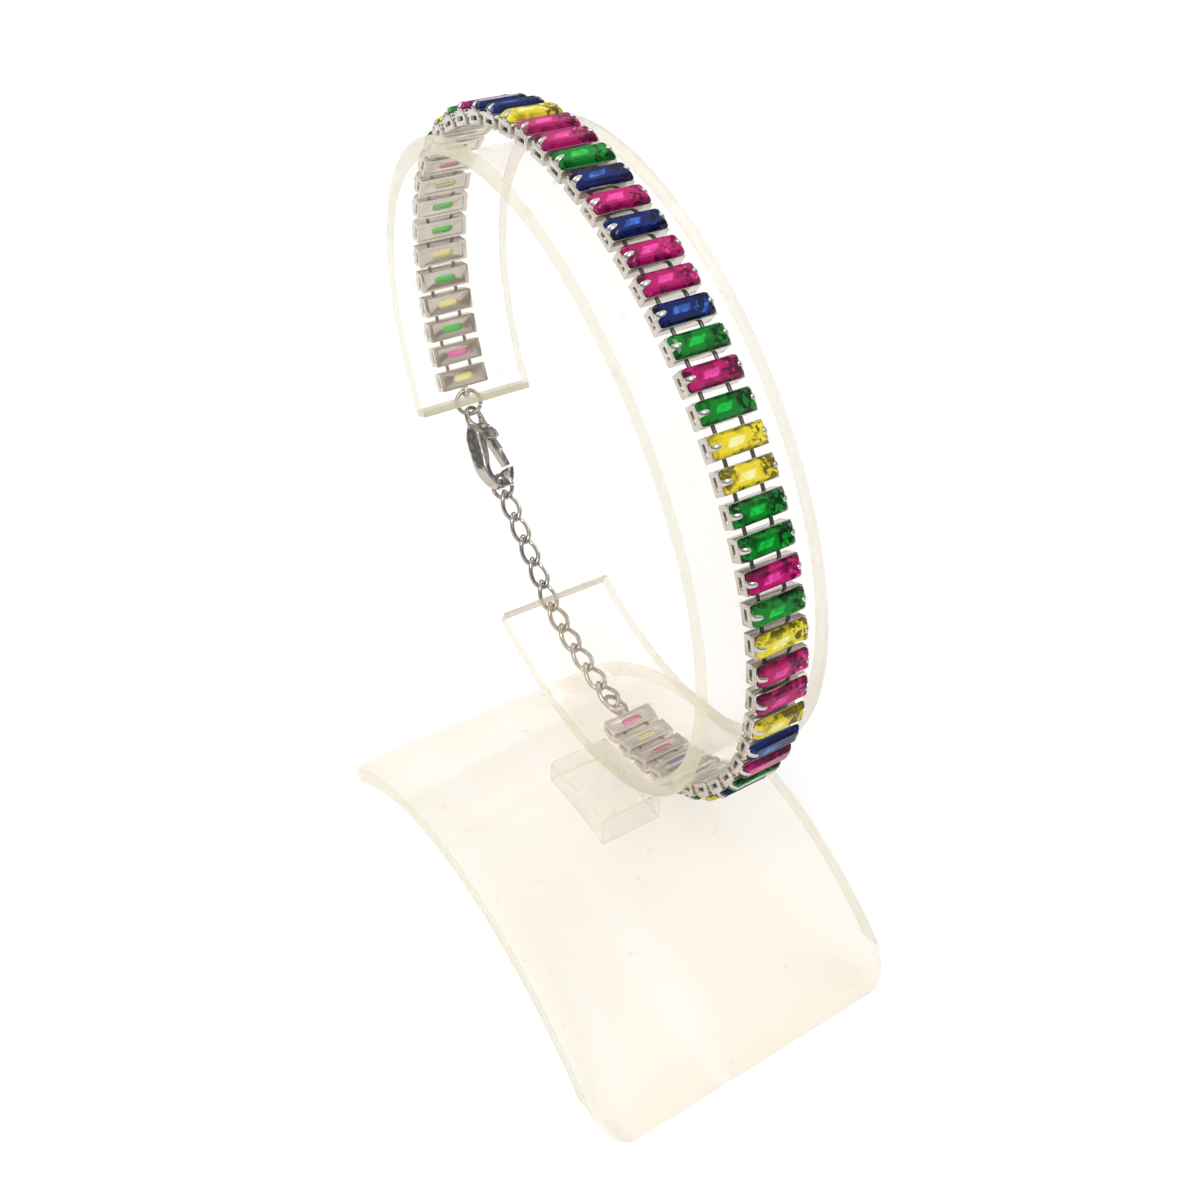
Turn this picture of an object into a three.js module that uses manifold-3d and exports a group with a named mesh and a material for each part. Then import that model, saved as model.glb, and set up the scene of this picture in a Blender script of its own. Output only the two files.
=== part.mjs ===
// Tennis bracelet on its clear display stand, in millimetres with +Z up.
// The stand's arch runs along X and the band is as wide as Y. The bracelet lies round the outer face
// of the band, fastened across the band's mouth by a lobster clasp and a short extender chain.
import * as THREE from 'three';
import { ConvexGeometry } from 'three/addons/geometries/ConvexGeometry.js';
import { mergeVertices } from 'three/addons/utils/BufferGeometryUtils.js';
import Module from 'manifold-3d';

// Clearance between two pieces that touch in life
const GAP = 0.3;

// Base: a bent sheet that stands on its two ends
const BASE_LENGTH = 63;
const BASE_WIDTH = 39;
const BASE_HEIGHT = 14.2;
const SHEET = 2.2;
const BASE_CORNER = 3.5;

// Band: an open oval, leaned back, that holds the bracelet
const BAND_LONG = 74.8;
const BAND_SHORT = 51.2;
const BAND_WALL = 2.1;
const BAND_WIDTH = 15.2;
const BAND_LEAN = THREE.MathUtils.degToRad(-41.5);
const BAND_X = -15.7;
const BAND_Y = 7.5;
const ROW_CLEAR = 0.7;
const MOUTH_UPPER = THREE.MathUtils.degToRad(245);
const MOUTH_LOWER = THREE.MathUtils.degToRad(288);

// Block on top of the base that carries the band by its near edge, clear of the bracelet
const BLOCK_LENGTH = 11.3;
const BLOCK_WIDTH = 7.8;
const BLOCK_HEIGHT = 3.8;
const BLOCK_X = 1.5;
const BLOCK_Y = -0.7;

// Row of stones in cups
const STONES = 50;
const ROW_UPPER = THREE.MathUtils.degToRad(242.5);
const ROW_LOWER = THREE.MathUtils.degToRad(-43);
const CUP_LENGTH = 6.4;
const CUP_HEIGHT = 1.5;
const CUP_SHARE = 0.76;
const CROWN = 0.75;
const CLAW = 1.1;
const BAR = 0.5;

// Clasp, its rings and the extender chain
const WIRE = 0.5;
const LINKS = 10;
const LINK_WIDTH = 2.5;
const RING_OUTER = 3.5;
const LOOP_OUTER = 1.9;
const CLASP_LENGTH = 11.5;
const CLASP_WIDTH = 5.6;
const CLASP_THICKNESS = 2.2;
const LEVER_THICKNESS = 0.8;

const wasm = await Module();
wasm.setup();

// A closed solid from a three.js geometry
function solid(geometry) {
  const bare = geometry.index ? geometry.toNonIndexed() : geometry.clone();
  bare.deleteAttribute('normal');
  bare.deleteAttribute('uv');
  const merged = mergeVertices(bare, 1e-4);
  const mesh = new wasm.Mesh({
    numProp: 3,
    vertProperties: new Float32Array(merged.attributes.position.array),
    triVerts: new Uint32Array(merged.index.array),
  });
  mesh.merge();
  return new wasm.Manifold(mesh);
}

// A named mesh from a solid
function piece(name, body, material) {
  const mesh = body.getMesh();
  const geometry = new THREE.BufferGeometry();
  const stride = mesh.numProp;
  const positions = new Float32Array((mesh.vertProperties.length / stride) * 3);
  for (let i = 0; i < positions.length / 3; i++) {
    positions.set(mesh.vertProperties.subarray(i * stride, i * stride + 3), i * 3);
  }
  geometry.setAttribute('position', new THREE.BufferAttribute(positions, 3));
  geometry.setIndex(new THREE.BufferAttribute(new Uint32Array(mesh.triVerts), 1));
  geometry.computeVertexNormals();
  const result = new THREE.Mesh(geometry, material.clone());
  result.name = name;
  return result;
}

function moved(geometry, matrix) {
  return geometry.clone().applyMatrix4(matrix);
}

function shift(x, y, z) {
  return new THREE.Matrix4().makeTranslation(x, y, z);
}

function block(sizeX, sizeY, sizeZ, x, y, z) {
  return solid(moved(new THREE.BoxGeometry(sizeX, sizeY, sizeZ), shift(x, y, z)));
}

// A shape drawn in X and Z, extruded along Y and centred on Y = 0
function plate(shape, width, curveSegments = 12) {
  const geometry = new THREE.ExtrudeGeometry(shape, { depth: width, bevelEnabled: false, curveSegments });
  geometry.translate(0, 0, -width / 2);
  geometry.rotateX(Math.PI / 2);
  return geometry;
}

// A shape drawn in X and Y, extruded up from Z = bottom
function slab(shape, bottom, height, curveSegments = 6) {
  const geometry = new THREE.ExtrudeGeometry(shape, { depth: height, bevelEnabled: false, curveSegments });
  geometry.translate(0, 0, bottom);
  return geometry;
}

function polygon(points) {
  return new THREE.Shape(points.map(([x, y]) => new THREE.Vector2(x, y)));
}

// Materials
const acrylic = new THREE.MeshStandardMaterial({
  color: 0xf6f1e6, roughness: 0.06, metalness: 0, transparent: true, opacity: 0.35,
});
const steel = new THREE.MeshStandardMaterial({ color: 0xb9b8b6, roughness: 0.18, metalness: 1 });
const stones = new THREE.MeshStandardMaterial({ color: 0xc22a6c, roughness: 0.08, metalness: 0.1 });

// Base sheet
const archRadius = (BASE_LENGTH ** 2 / 4 + BASE_HEIGHT ** 2) / (2 * BASE_HEIGHT);
const archCentre = BASE_HEIGHT - archRadius;

function archSolid(radius, segments) {
  const disc = new THREE.Shape();
  disc.absarc(0, 0, radius, 0, 2 * Math.PI, false);
  const geometry = plate(disc, BASE_WIDTH, segments);
  return solid(moved(geometry, shift(0, 0, archCentre)));
}

function roundedPlan(length, width, corner) {
  const x = length / 2;
  const y = width / 2;
  const plan = new THREE.Shape();
  plan.absarc(x - corner, y - corner, corner, 0, Math.PI / 2, false);
  plan.absarc(corner - x, y - corner, corner, Math.PI / 2, Math.PI, false);
  plan.absarc(corner - x, corner - y, corner, Math.PI, 1.5 * Math.PI, false);
  plan.absarc(x - corner, corner - y, corner, 1.5 * Math.PI, 2 * Math.PI, false);
  return plan;
}

function baseSheet() {
  const outer = archSolid(archRadius, 72);
  const inner = archSolid(archRadius - SHEET, 72);
  const plan = solid(slab(roundedPlan(BASE_LENGTH, BASE_WIDTH, BASE_CORNER), 0, BASE_HEIGHT + 1, 5));
  return outer.subtract(inner.scale([1, 1.1, 1])).intersect(plan);
}

// Height of the band's middle that keeps the stones below it clear of the base
const bandDrop = Math.hypot(BAND_LONG / 2 * Math.sin(BAND_LEAN), BAND_SHORT / 2 * Math.cos(BAND_LEAN));
const bandZ = BASE_HEIGHT + ROW_CLEAR + GAP + CUP_HEIGHT + 1.15 * CROWN + bandDrop;

// Band: outer and inner ovals joined at the mouth's two ends
function oval(offset, start, end, clockwise) {
  return new THREE.EllipseCurve(
    BAND_X, bandZ, BAND_LONG / 2 + offset, BAND_SHORT / 2 + offset, start, end, clockwise, BAND_LEAN,
  );
}

function bandBetween(innerOffset, outerOffset, start, end, width, divisions) {
  const outside = oval(outerOffset, start, end, false).getPoints(divisions);
  const inside = oval(innerOffset, start, end, false).getPoints(divisions).reverse();
  return solid(plate(new THREE.Shape([...outside, ...inside]), width));
}

function ringBand() {
  const start = MOUTH_LOWER - 2 * Math.PI;
  return bandBetween(-BAND_WALL, 0, start, MOUTH_UPPER, BAND_WIDTH, 64);
}

// Block: cut to the base's arch below and to the band's outer face above
function bandBlock() {
  const top = BASE_HEIGHT + BLOCK_HEIGHT;
  const raw = block(BLOCK_LENGTH, BLOCK_WIDTH, top, BLOCK_X, BLOCK_Y, top / 2);
  const bandRoom = new THREE.Shape(oval(GAP, 0, 2 * Math.PI, false).getPoints(72).slice(0, -1));
  const arch = archSolid(archRadius + GAP, 72);
  return raw.subtract(solid(plate(bandRoom, BASE_WIDTH))).subtract(arch);
}

// Row of stones
const rowOffset = GAP + CUP_HEIGHT / 2;
const rowPath = oval(rowOffset, ROW_UPPER, ROW_LOWER, true);
rowPath.arcLengthDivisions = 2000;
const pitch = rowPath.getLength() / STONES;
const cupWidth = CUP_SHARE * pitch;

// The place of one cup: x along the row, y across the band, z outwards
function placeOnRow(distance) {
  const share = distance / rowPath.getLength();
  const point = rowPath.getPointAt(share);
  const tangent = rowPath.getTangentAt(share);
  const along = new THREE.Vector3(tangent.x, 0, tangent.y);
  const out = new THREE.Vector3(-tangent.y, 0, tangent.x);
  const across = new THREE.Vector3().crossVectors(out, along);
  const matrix = new THREE.Matrix4().makeBasis(along, across, out);
  return matrix.setPosition(point.x, 0, point.y);
}

// An oblong with cut corners at height z
function cutOblong(length, width, cut, z) {
  const x = width / 2;
  const y = length / 2;
  return [
    [x, y - cut], [x - cut, y], [cut - x, y], [-x, y - cut],
    [-x, cut - y], [cut - x, -y], [x - cut, -y], [x, cut - y],
  ].map(([px, py]) => new THREE.Vector3(px, py, z));
}

function stoneGeometry() {
  const rim = CUP_HEIGHT / 2;
  const width = 0.88 * cupWidth;
  const length = 0.9 * CUP_LENGTH;
  const cut = 0.24 * cupWidth;
  return new ConvexGeometry([
    ...cutOblong(length, width, cut, rim - 0.2 * CROWN),
    ...cutOblong(length, width, cut, rim + 0.3 * CROWN),
    ...cutOblong(0.72 * length, 0.5 * width, 0.5 * cut, rim + CROWN),
  ]);
}

function clawGeometry() {
  const rim = CUP_HEIGHT / 2;
  const end = CUP_LENGTH / 2;
  const profile = polygon([
    [end - 1.1 * CROWN, rim - 0.1 * CROWN], [end - 0.05 * CROWN, rim - 0.1 * CROWN],
    [end, rim + 0.5 * CROWN], [end - 0.3 * CROWN, rim + CROWN], [end - 1.2 * CROWN, rim + 1.15 * CROWN],
  ]);
  const claw = new THREE.ExtrudeGeometry(profile, { depth: CLAW, bevelEnabled: false });
  claw.translate(0, 0, -CLAW / 2);
  const turn = new THREE.Matrix4().makeBasis(
    new THREE.Vector3(0, 1, 0), new THREE.Vector3(0, 0, 1), new THREE.Vector3(1, 0, 0),
  );
  return claw.applyMatrix4(turn);
}

// One oblong stone in its cup
function cupSolid() {
  const body = block(cupWidth, CUP_LENGTH, CUP_HEIGHT, 0, 0, 0);
  const claw = solid(clawGeometry());
  const slotDepth = 0.4;
  const slot = block(0.36 * cupWidth, 2 * slotDepth, 0.45 * CUP_HEIGHT, 0, CUP_LENGTH / 2, -0.05 * CUP_HEIGHT);
  const openingRadius = 0.2 * cupWidth;
  const openingReach = 0.22 * CUP_LENGTH;
  const opening = new THREE.Shape();
  opening.absarc(0, openingReach, openingRadius, 0, Math.PI, false);
  opening.absarc(0, -openingReach, openingRadius, Math.PI, 2 * Math.PI, false);
  const back = solid(slab(opening, -CUP_HEIGHT, 0.85 * CUP_HEIGHT, 2));
  return body.add(solid(stoneGeometry())).add(claw).add(claw.rotate([0, 0, 180]))
    .subtract(slot).subtract(slot.rotate([0, 0, 180])).subtract(back);
}

// A straight bar of wire from one point to another
function bar(from, to, thickness, sides = 4) {
  const axis = new THREE.Vector3().subVectors(to, from);
  const geometry = new THREE.CylinderGeometry(thickness / 2, thickness / 2, axis.length(), sides);
  const turn = new THREE.Quaternion().setFromUnitVectors(new THREE.Vector3(0, 1, 0), axis.normalize());
  const middle = new THREE.Vector3().addVectors(from, to).multiplyScalar(0.5);
  const matrix = new THREE.Matrix4().compose(middle, turn, new THREE.Vector3(1, 1, 1));
  return solid(geometry.applyMatrix4(matrix));
}

// The two bars that join one cup to the next
function barsBetween(first, second) {
  return [-0.25, 0.25].map((share) => {
    const y = share * CUP_LENGTH;
    const from = new THREE.Vector3(0.4 * cupWidth, y, 0).applyMatrix4(first);
    const to = new THREE.Vector3(-0.4 * cupWidth, y, 0).applyMatrix4(second);
    return bar(from, to, BAR);
  });
}

// A standing wire loop soldered to the free side of an end cup
const loopRadius = (LOOP_OUTER - WIRE) / 2;
const loopReach = cupWidth / 2 + loopRadius;

function endLoop(matrix, side) {
  const loop = new THREE.TorusGeometry(loopRadius, WIRE / 2, 6, 12);
  loop.rotateX(Math.PI / 2);
  loop.translate(side * loopReach, 0, 0);
  return solid(loop.applyMatrix4(matrix));
}

function stoneRow(first, last) {
  const cup = cupSolid();
  const places = [];
  for (let i = first; i <= last; i++) {
    places.push(placeOnRow((i + 0.5) * pitch));
  }
  const parts = places.map((matrix) => cup.transform(matrix.elements));
  for (let i = 1; i < places.length; i++) {
    parts.push(...barsBetween(places[i - 1], places[i]));
  }
  if (first === 0) {
    parts.push(endLoop(places[0], -1));
  }
  if (last === STONES - 1) {
    parts.push(endLoop(places[places.length - 1], 1));
  }
  return wasm.Manifold.union(parts);
}

// Half bars between the two rows, which stop short of each other by the gap
function meetingBars(index) {
  const first = placeOnRow((index + 0.5) * pitch);
  const second = placeOnRow((index + 1.5) * pitch);
  const free = pitch - cupWidth;
  return [-0.25, 0.25].map((share) => {
    const y = share * CUP_LENGTH;
    const root = new THREE.Vector3(0.4 * cupWidth, y, 0).applyMatrix4(first);
    const far = new THREE.Vector3(-cupWidth / 2, y, 0).applyMatrix4(second);
    const reach = far.clone().sub(root).setLength(GAP);
    const tip = far.sub(reach);
    return free > GAP ? bar(root, tip, BAR) : null;
  }).filter(Boolean);
}

// Fastening path: round the upper end of the band, across the mouth and round the lower end
const rowStart = new THREE.Vector3(-loopReach, 0, 0).applyMatrix4(placeOnRow(0.5 * pitch));
const rowEnd = new THREE.Vector3(loopReach, 0, 0).applyMatrix4(placeOnRow((STONES - 0.5) * pitch));

const underPath = oval(rowOffset, MOUTH_LOWER + 0.02, ROW_LOWER + 2 * Math.PI, false);
const underPoints = underPath.getPoints(8).slice(0, -1);
const fasteningPath = new THREE.CurvePath();
const upperCorner = oval(rowOffset, MOUTH_UPPER, MOUTH_UPPER + 0.02, false).getPoint(1);
const stations = [
  new THREE.Vector2(rowStart.x, rowStart.z), upperCorner,
  ...underPoints, new THREE.Vector2(rowEnd.x, rowEnd.z),
];
for (let i = 1; i < stations.length; i++) {
  fasteningPath.add(new THREE.LineCurve(stations[i - 1], stations[i]));
}
const fasteningLength = fasteningPath.getLength();

// A place on the path, which runs straight on beyond its ends
function stationAt(distance) {
  const share = THREE.MathUtils.clamp(distance / fasteningLength, 0, 1);
  const beyond = distance - share * fasteningLength;
  return fasteningPath.getPoint(share).addScaledVector(fasteningPath.getTangent(share), beyond);
}

// A frame with x from one place of the path to another, turned about that line
function frameBetween(from, to, turn) {
  const start = stationAt(from);
  const end = stationAt(to);
  const along = new THREE.Vector3(end.x - start.x, 0, end.y - start.y).normalize();
  const across = new THREE.Vector3(0, 1, 0);
  const out = new THREE.Vector3().crossVectors(along, across);
  const matrix = new THREE.Matrix4().makeBasis(along, across, out);
  matrix.setPosition((start.x + end.x) / 2, 0, (start.y + end.y) / 2);
  return matrix.multiply(new THREE.Matrix4().makeRotationX(turn));
}

// Where the wires of two joined pieces pass each other
const hold = WIRE + GAP;
const ringRadius = (RING_OUTER - WIRE) / 2;
const claspEye = 0.27 * CLASP_WIDTH;
const eyeHole = 0.68 * claspEye;
const headRadius = CLASP_WIDTH / 2;
const headHole = 0.62 * headRadius;
const headX = CLASP_LENGTH - headRadius - claspEye;

const ringStart = loopRadius - hold;
const ringCentre = ringStart + ringRadius;
const claspStart = ringStart + 2 * ringRadius + eyeHole - WIRE / 2 - GAP;
const headEdge = 0.65 * CLASP_THICKNESS / 2;
const hookPlay = ringRadius - Math.sqrt(ringRadius ** 2 - headEdge ** 2);
const hookRingStart = claspStart + headX + headHole - WIRE / 2 - GAP - hookPlay;
const chainStart = hookRingStart + 2 * ringRadius - hold;
const endRingEnd = fasteningLength - loopRadius + hold;
const endRingStart = endRingEnd - 2 * ringRadius;
const linkPitch = (endRingStart + hold - chainStart) / LINKS;
const linkLength = linkPitch + hold;

function wireRing(from, turn) {
  const torus = new THREE.TorusGeometry(ringRadius, WIRE / 2, 5, 14);
  return solid(torus.applyMatrix4(frameBetween(from, from + 2 * ringRadius, turn)));
}

// The centre line of a link whose plane turns by a quarter turn from one end to the other
class TwistedLink extends THREE.Curve {
  constructor(length, width) {
    super();
    this.reach = length / 2;
    this.side = width / 2;
  }

  getPoint(t, target = new THREE.Vector3()) {
    const angle = 2 * Math.PI * t;
    const x = this.reach * Math.cos(angle);
    const across = this.side * Math.sin(angle);
    const twist = (Math.PI / 4) * Math.cos(angle);
    return target.set(x, across * Math.cos(twist), across * Math.sin(twist));
  }
}

function chainLink(index) {
  const from = chainStart + index * linkPitch;
  const curve = new TwistedLink(linkLength, LINK_WIDTH - WIRE);
  const tube = new THREE.TubeGeometry(curve, 12, WIRE / 2, 5, true);
  return solid(tube.applyMatrix4(frameBetween(from, from + linkLength, 0)));
}

// Lobster clasp, drawn with its eye at the origin and its head along x
const claspTurn = THREE.MathUtils.degToRad(153);
const pivotX = 0.36 * headX;
const pivotY = -0.6 * claspEye;
const pinRadius = 0.3;
const knuckle = pinRadius + GAP + 0.4;

// Outline round an eye circle and a head circle, joined by straight sides
function teardrop(smallRadius, smallX, largeRadius, largeX) {
  const tilt = Math.asin((largeRadius - smallRadius) / (largeX - smallX));
  const shape = new THREE.Shape();
  shape.absarc(largeX, 0, largeRadius, -Math.PI / 2 - tilt, Math.PI / 2 + tilt, false);
  shape.absarc(smallX, 0, smallRadius, Math.PI / 2 + tilt, 1.5 * Math.PI - tilt, false);
  return shape;
}

// The clasp seen from its edge: thin at the eye, full at the pivot, a little thinner at the head
function claspEdge() {
  const full = CLASP_THICKNESS / 2;
  const thin = 0.3 * full;
  const end = headX + headRadius + 1;
  const hole = headX + 0.7 * headHole;
  const side = polygon([
    [-end, -thin], [eyeHole, -thin], [1.6 * claspEye, -full], [0.8 * headX, -full], [hole, -headEdge],
    [end, -headEdge], [end, headEdge], [hole, headEdge], [0.8 * headX, full], [1.6 * claspEye, full],
    [eyeHole, thin], [-end, thin],
  ]);
  return solid(plate(side, 4 * CLASP_WIDTH));
}

function claspRim() {
  const half = CLASP_THICKNESS / 2;
  const outline = teardrop(claspEye, 0, headRadius, headX);
  const inside = teardrop(0.45 * headHole, pivotX + 1.6 * knuckle, headHole, headX);
  const outer = solid(slab(outline, -half, CLASP_THICKNESS, 10));
  const inner = solid(slab(inside, -CLASP_THICKNESS, 2 * CLASP_THICKNESS, 8));
  const eye = solid(new THREE.CylinderGeometry(eyeHole, eyeHole, 2 * CLASP_THICKNESS, 10).rotateX(Math.PI / 2));
  return outer.intersect(claspEdge()).subtract(inner).subtract(eye);
}

// The side of the rim that the lever takes up, less an inset
function gateRegion(inset, height) {
  const tipX = headX + 0.1 * headRadius;
  return solid(slab(polygon([
    [pivotX + inset, -0.15 * headRadius - inset],
    [pivotX + inset, -CLASP_WIDTH], [tipX - inset, -CLASP_WIDTH],
    [tipX - inset, -0.5 * headRadius - inset], [headX - 0.3 * headRadius, -0.2 * headRadius - inset],
  ]), -height / 2, height));
}

function disc(radius, height, x, y) {
  const geometry = new THREE.CylinderGeometry(radius, radius, height, 12).rotateX(Math.PI / 2);
  return solid(geometry.translate(x, y, 0));
}

function claspBody() {
  const slotHeight = LEVER_THICKNESS + 2 * GAP;
  const room = disc(knuckle + GAP, slotHeight, pivotX, pivotY);
  const gate = gateRegion(0, 2 * CLASP_THICKNESS);
  const cheek = disc(knuckle, CLASP_THICKNESS, pivotX, pivotY);
  const pin = disc(pinRadius, CLASP_THICKNESS, pivotX, pivotY);
  return claspRim().subtract(gate).add(cheek.intersect(claspEdge())).subtract(room).add(pin);
}

function claspLever() {
  const half = LEVER_THICKNESS / 2;
  const region = gateRegion(GAP, LEVER_THICKNESS);
  const strip = claspRim().intersect(region);
  const root = disc(knuckle, LEVER_THICKNESS, pivotX, pivotY);
  const arm = solid(slab(polygon([
    [pivotX, pivotY + 0.5 * knuckle], [pivotX, pivotY - knuckle],
    [pivotX + 2.2 * knuckle, -0.95 * headRadius], [pivotX + 2.4 * knuckle, -0.62 * headRadius],
  ]), -half, LEVER_THICKNESS));
  const thumb = solid(slab(polygon([
    [pivotX - 0.3 * knuckle, pivotY - 0.6 * knuckle], [pivotX - 0.5 * knuckle, pivotY - 1.9 * knuckle],
    [pivotX + 0.4 * knuckle, pivotY - 2.1 * knuckle], [pivotX + 0.9 * knuckle, pivotY - 0.9 * knuckle],
  ]), -half, LEVER_THICKNESS));
  const hole = disc(pinRadius + GAP, 2 * LEVER_THICKNESS, pivotX, pivotY);
  return strip.add(root).add(arm).add(thumb).subtract(hole);
}

const claspFrame = frameBetween(claspStart, claspStart + headX, claspTurn)
  .multiply(shift(-headX / 2, 0, 0));

// The whole object
const model = new THREE.Group();
model.name = 'tennis_bracelet_on_stand';

const stand = new THREE.Group();
stand.name = 'display_stand';
stand.add(piece('base_sheet', baseSheet(), acrylic));
stand.add(piece('band_block', bandBlock(), acrylic));
const band = piece('ring_band', ringBand(), acrylic);
band.position.y = BAND_Y;
stand.add(band);

const bracelet = new THREE.Group();
bracelet.name = 'tennis_bracelet';
bracelet.position.y = BAND_Y;
const half = STONES / 2;
const upperRow = wasm.Manifold.union([stoneRow(0, half - 1), ...meetingBars(half - 1)]);
bracelet.add(piece('stone_row_upper', upperRow, stones));
bracelet.add(piece('stone_row_lower', stoneRow(half, STONES - 1), stones));
bracelet.add(piece('clasp_ring', wireRing(ringStart, THREE.MathUtils.degToRad(23)), steel));
bracelet.add(piece('clasp_body', claspBody().transform(claspFrame.elements), steel));
bracelet.add(piece('clasp_lever', claspLever().transform(claspFrame.elements), steel));
bracelet.add(piece('hook_ring', wireRing(hookRingStart, THREE.MathUtils.degToRad(60)), steel));
for (let i = 0; i < LINKS; i++) {
  bracelet.add(piece(`chain_link_${String(i + 1).padStart(2, '0')}`, chainLink(i), steel));
}
bracelet.add(piece('end_ring', wireRing(endRingStart, THREE.MathUtils.degToRad(-28)), steel));

model.add(stand);
model.add(bracelet);

// The origin is under the middle of the whole object, at the height the base stands on
const middle = new THREE.Box3().setFromObject(model).getCenter(new THREE.Vector3());
model.position.set(-middle.x, -middle.y, 0);
export default model;
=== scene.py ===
"""A tennis bracelet of oblong coloured stones on its clear open-band display stand."""

import logging
import math
from dataclasses import dataclass, field
from enum import Enum
from typing import Callable, Iterable, Sequence

import bmesh
import bpy
from mathutils import Matrix, Vector


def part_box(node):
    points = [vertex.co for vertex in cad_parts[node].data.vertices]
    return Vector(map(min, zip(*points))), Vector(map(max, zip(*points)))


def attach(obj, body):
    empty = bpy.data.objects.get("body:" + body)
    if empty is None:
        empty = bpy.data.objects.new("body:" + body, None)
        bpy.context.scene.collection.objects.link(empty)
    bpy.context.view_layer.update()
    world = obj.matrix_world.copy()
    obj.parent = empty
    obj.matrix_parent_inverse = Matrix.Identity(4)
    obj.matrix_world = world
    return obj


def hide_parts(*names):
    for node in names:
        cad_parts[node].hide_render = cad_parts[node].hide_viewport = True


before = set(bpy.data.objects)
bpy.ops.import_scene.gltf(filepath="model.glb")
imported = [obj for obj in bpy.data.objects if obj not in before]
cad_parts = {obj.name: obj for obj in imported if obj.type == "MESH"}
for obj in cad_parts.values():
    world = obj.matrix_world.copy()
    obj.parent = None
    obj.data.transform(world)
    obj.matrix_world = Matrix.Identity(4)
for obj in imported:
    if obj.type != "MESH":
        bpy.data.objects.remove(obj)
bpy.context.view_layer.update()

Piece = bpy.types.Object
Material = bpy.types.Material
Triple = tuple[float, float, float]

log = logging.getLogger("bracelet")

MM = 0.001
BODY = "stand_and_bracelet"
LEVER = "lever"
CREASE = 32.0
BEVEL_SEGMENTS = 2
BEVEL_ANGLE = math.radians(50)
CLOSE_POINTS = 0.0001 * MM
BAND_X = -15.7 * MM
BAND_Y = 7.5 * MM


class Wrap:
    """A shader socket that can be used in Python expressions."""

    def __init__(self, tree: bpy.types.NodeTree, socket: bpy.types.NodeSocket) -> None:
        """Keeps the node tree and one of its output sockets."""
        self.tree = tree
        self.socket = socket

    def _math(self, operation: str, *values: "Wrap | float", clamp: bool = False) -> "Wrap":
        """Adds one Math node.

        Args:
            operation: The node's operation.
            values: Its inputs in order.
            clamp: Whether the result is held between 0 and 1.

        Returns:
            The node's result.
        """
        settings = {"operation": operation, "use_clamp": clamp}
        return Graph(self.tree).node("ShaderNodeMath", settings, numbered=dict(enumerate(values)))

    def __add__(self, other: "Wrap | float") -> "Wrap":
        """Sum."""
        return self._math("ADD", self, other)

    __radd__ = __add__

    def __mul__(self, other: "Wrap | float") -> "Wrap":
        """Product."""
        return self._math("MULTIPLY", self, other)

    __rmul__ = __mul__

    def __sub__(self, other: "Wrap | float") -> "Wrap":
        """Difference."""
        return self._math("SUBTRACT", self, other)

    def __rsub__(self, other: float) -> "Wrap":
        """A number less this socket."""
        return self._math("SUBTRACT", other, self)

    def __pow__(self, other: float) -> "Wrap":
        """Power."""
        return self._math("POWER", self, other)

    def __abs__(self) -> "Wrap":
        """Size without the sign."""
        return self._math("ABSOLUTE", self)

    def clamped(self) -> "Wrap":
        """The value held between 0 and 1."""
        return self._math("ADD", self, 0.0, clamp=True)


class Graph:
    """A node tree and the one way to add nodes to it."""

    def __init__(self, tree: bpy.types.NodeTree) -> None:
        """Keeps the tree."""
        self.tree = tree

    def node(
        self,
        kind: str,
        settings: dict | None = None,
        output: int | str = 0,
        numbered: dict[int, object] | None = None,
        **sockets: object,
    ) -> Wrap:
        """Adds any node.

        Args:
            kind: The node's type.
            settings: Its properties, or the stops of a colour ramp.
            output: Which output to return.
            numbered: Values or links for inputs that share a name, by their number.
            sockets: Values or links for its inputs, with underscores for spaces.

        Returns:
            The wanted output.
        """
        made = self.tree.nodes.new(kind)
        for key, value in (settings or {}).items():
            if key == "stops":
                ramp = made.color_ramp
                while len(ramp.elements) < len(value):
                    ramp.elements.new(0.5)
                for element, (place, colour) in zip(ramp.elements, value):
                    element.position = place
                    element.color = (*colour, 1.0)
            else:
                setattr(made, key, value)
        for index, value in (numbered or {}).items():
            self.feed(made.inputs[index], value)
        for key, value in sockets.items():
            self.feed(made.inputs[key.replace("_", " ")], value)
        return Wrap(self.tree, made.outputs[output])

    def feed(self, target: bpy.types.NodeSocket, value: object) -> None:
        """Links one input to a wrapped socket, or sets it to a plain value."""
        if isinstance(value, Wrap):
            self.tree.links.new(value.socket, target)
        else:
            target.default_value = value

    def coordinates(self, kind: str = "Object") -> Wrap:
        """The point's place on its own object, or its direction for a world."""
        return self.node("ShaderNodeTexCoord", output=kind)

    def part(self, vector: Wrap, index: int) -> Wrap:
        """One component of a vector."""
        return self.node("ShaderNodeSeparateXYZ", output=index, Vector=vector)

    def noise(self, place: Wrap, scale: float, detail: float, roughness: float = 0.5) -> Wrap:
        """Soft noise."""
        return self.node("ShaderNodeTexNoise", Vector=place, Scale=scale, Detail=detail, Roughness=roughness)

    def cells(self, place: Wrap, scale: float, channel: int) -> Wrap:
        """A different value for each of many small cells."""
        colour = self.node("ShaderNodeTexVoronoi", output="Color", Vector=place, Scale=scale)
        return self.node("ShaderNodeSeparateColor", output=channel, Color=colour)

    def mix(self, factor: Wrap, low: Sequence[float], high: Sequence[float]) -> Wrap:
        """A colour between two others, the first at 0 and the second at 1."""
        colours = {0: factor, 6: (*low, 1.0), 7: (*high, 1.0)}
        return self.node("ShaderNodeMix", {"data_type": "RGBA"}, 2, colours)


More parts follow.
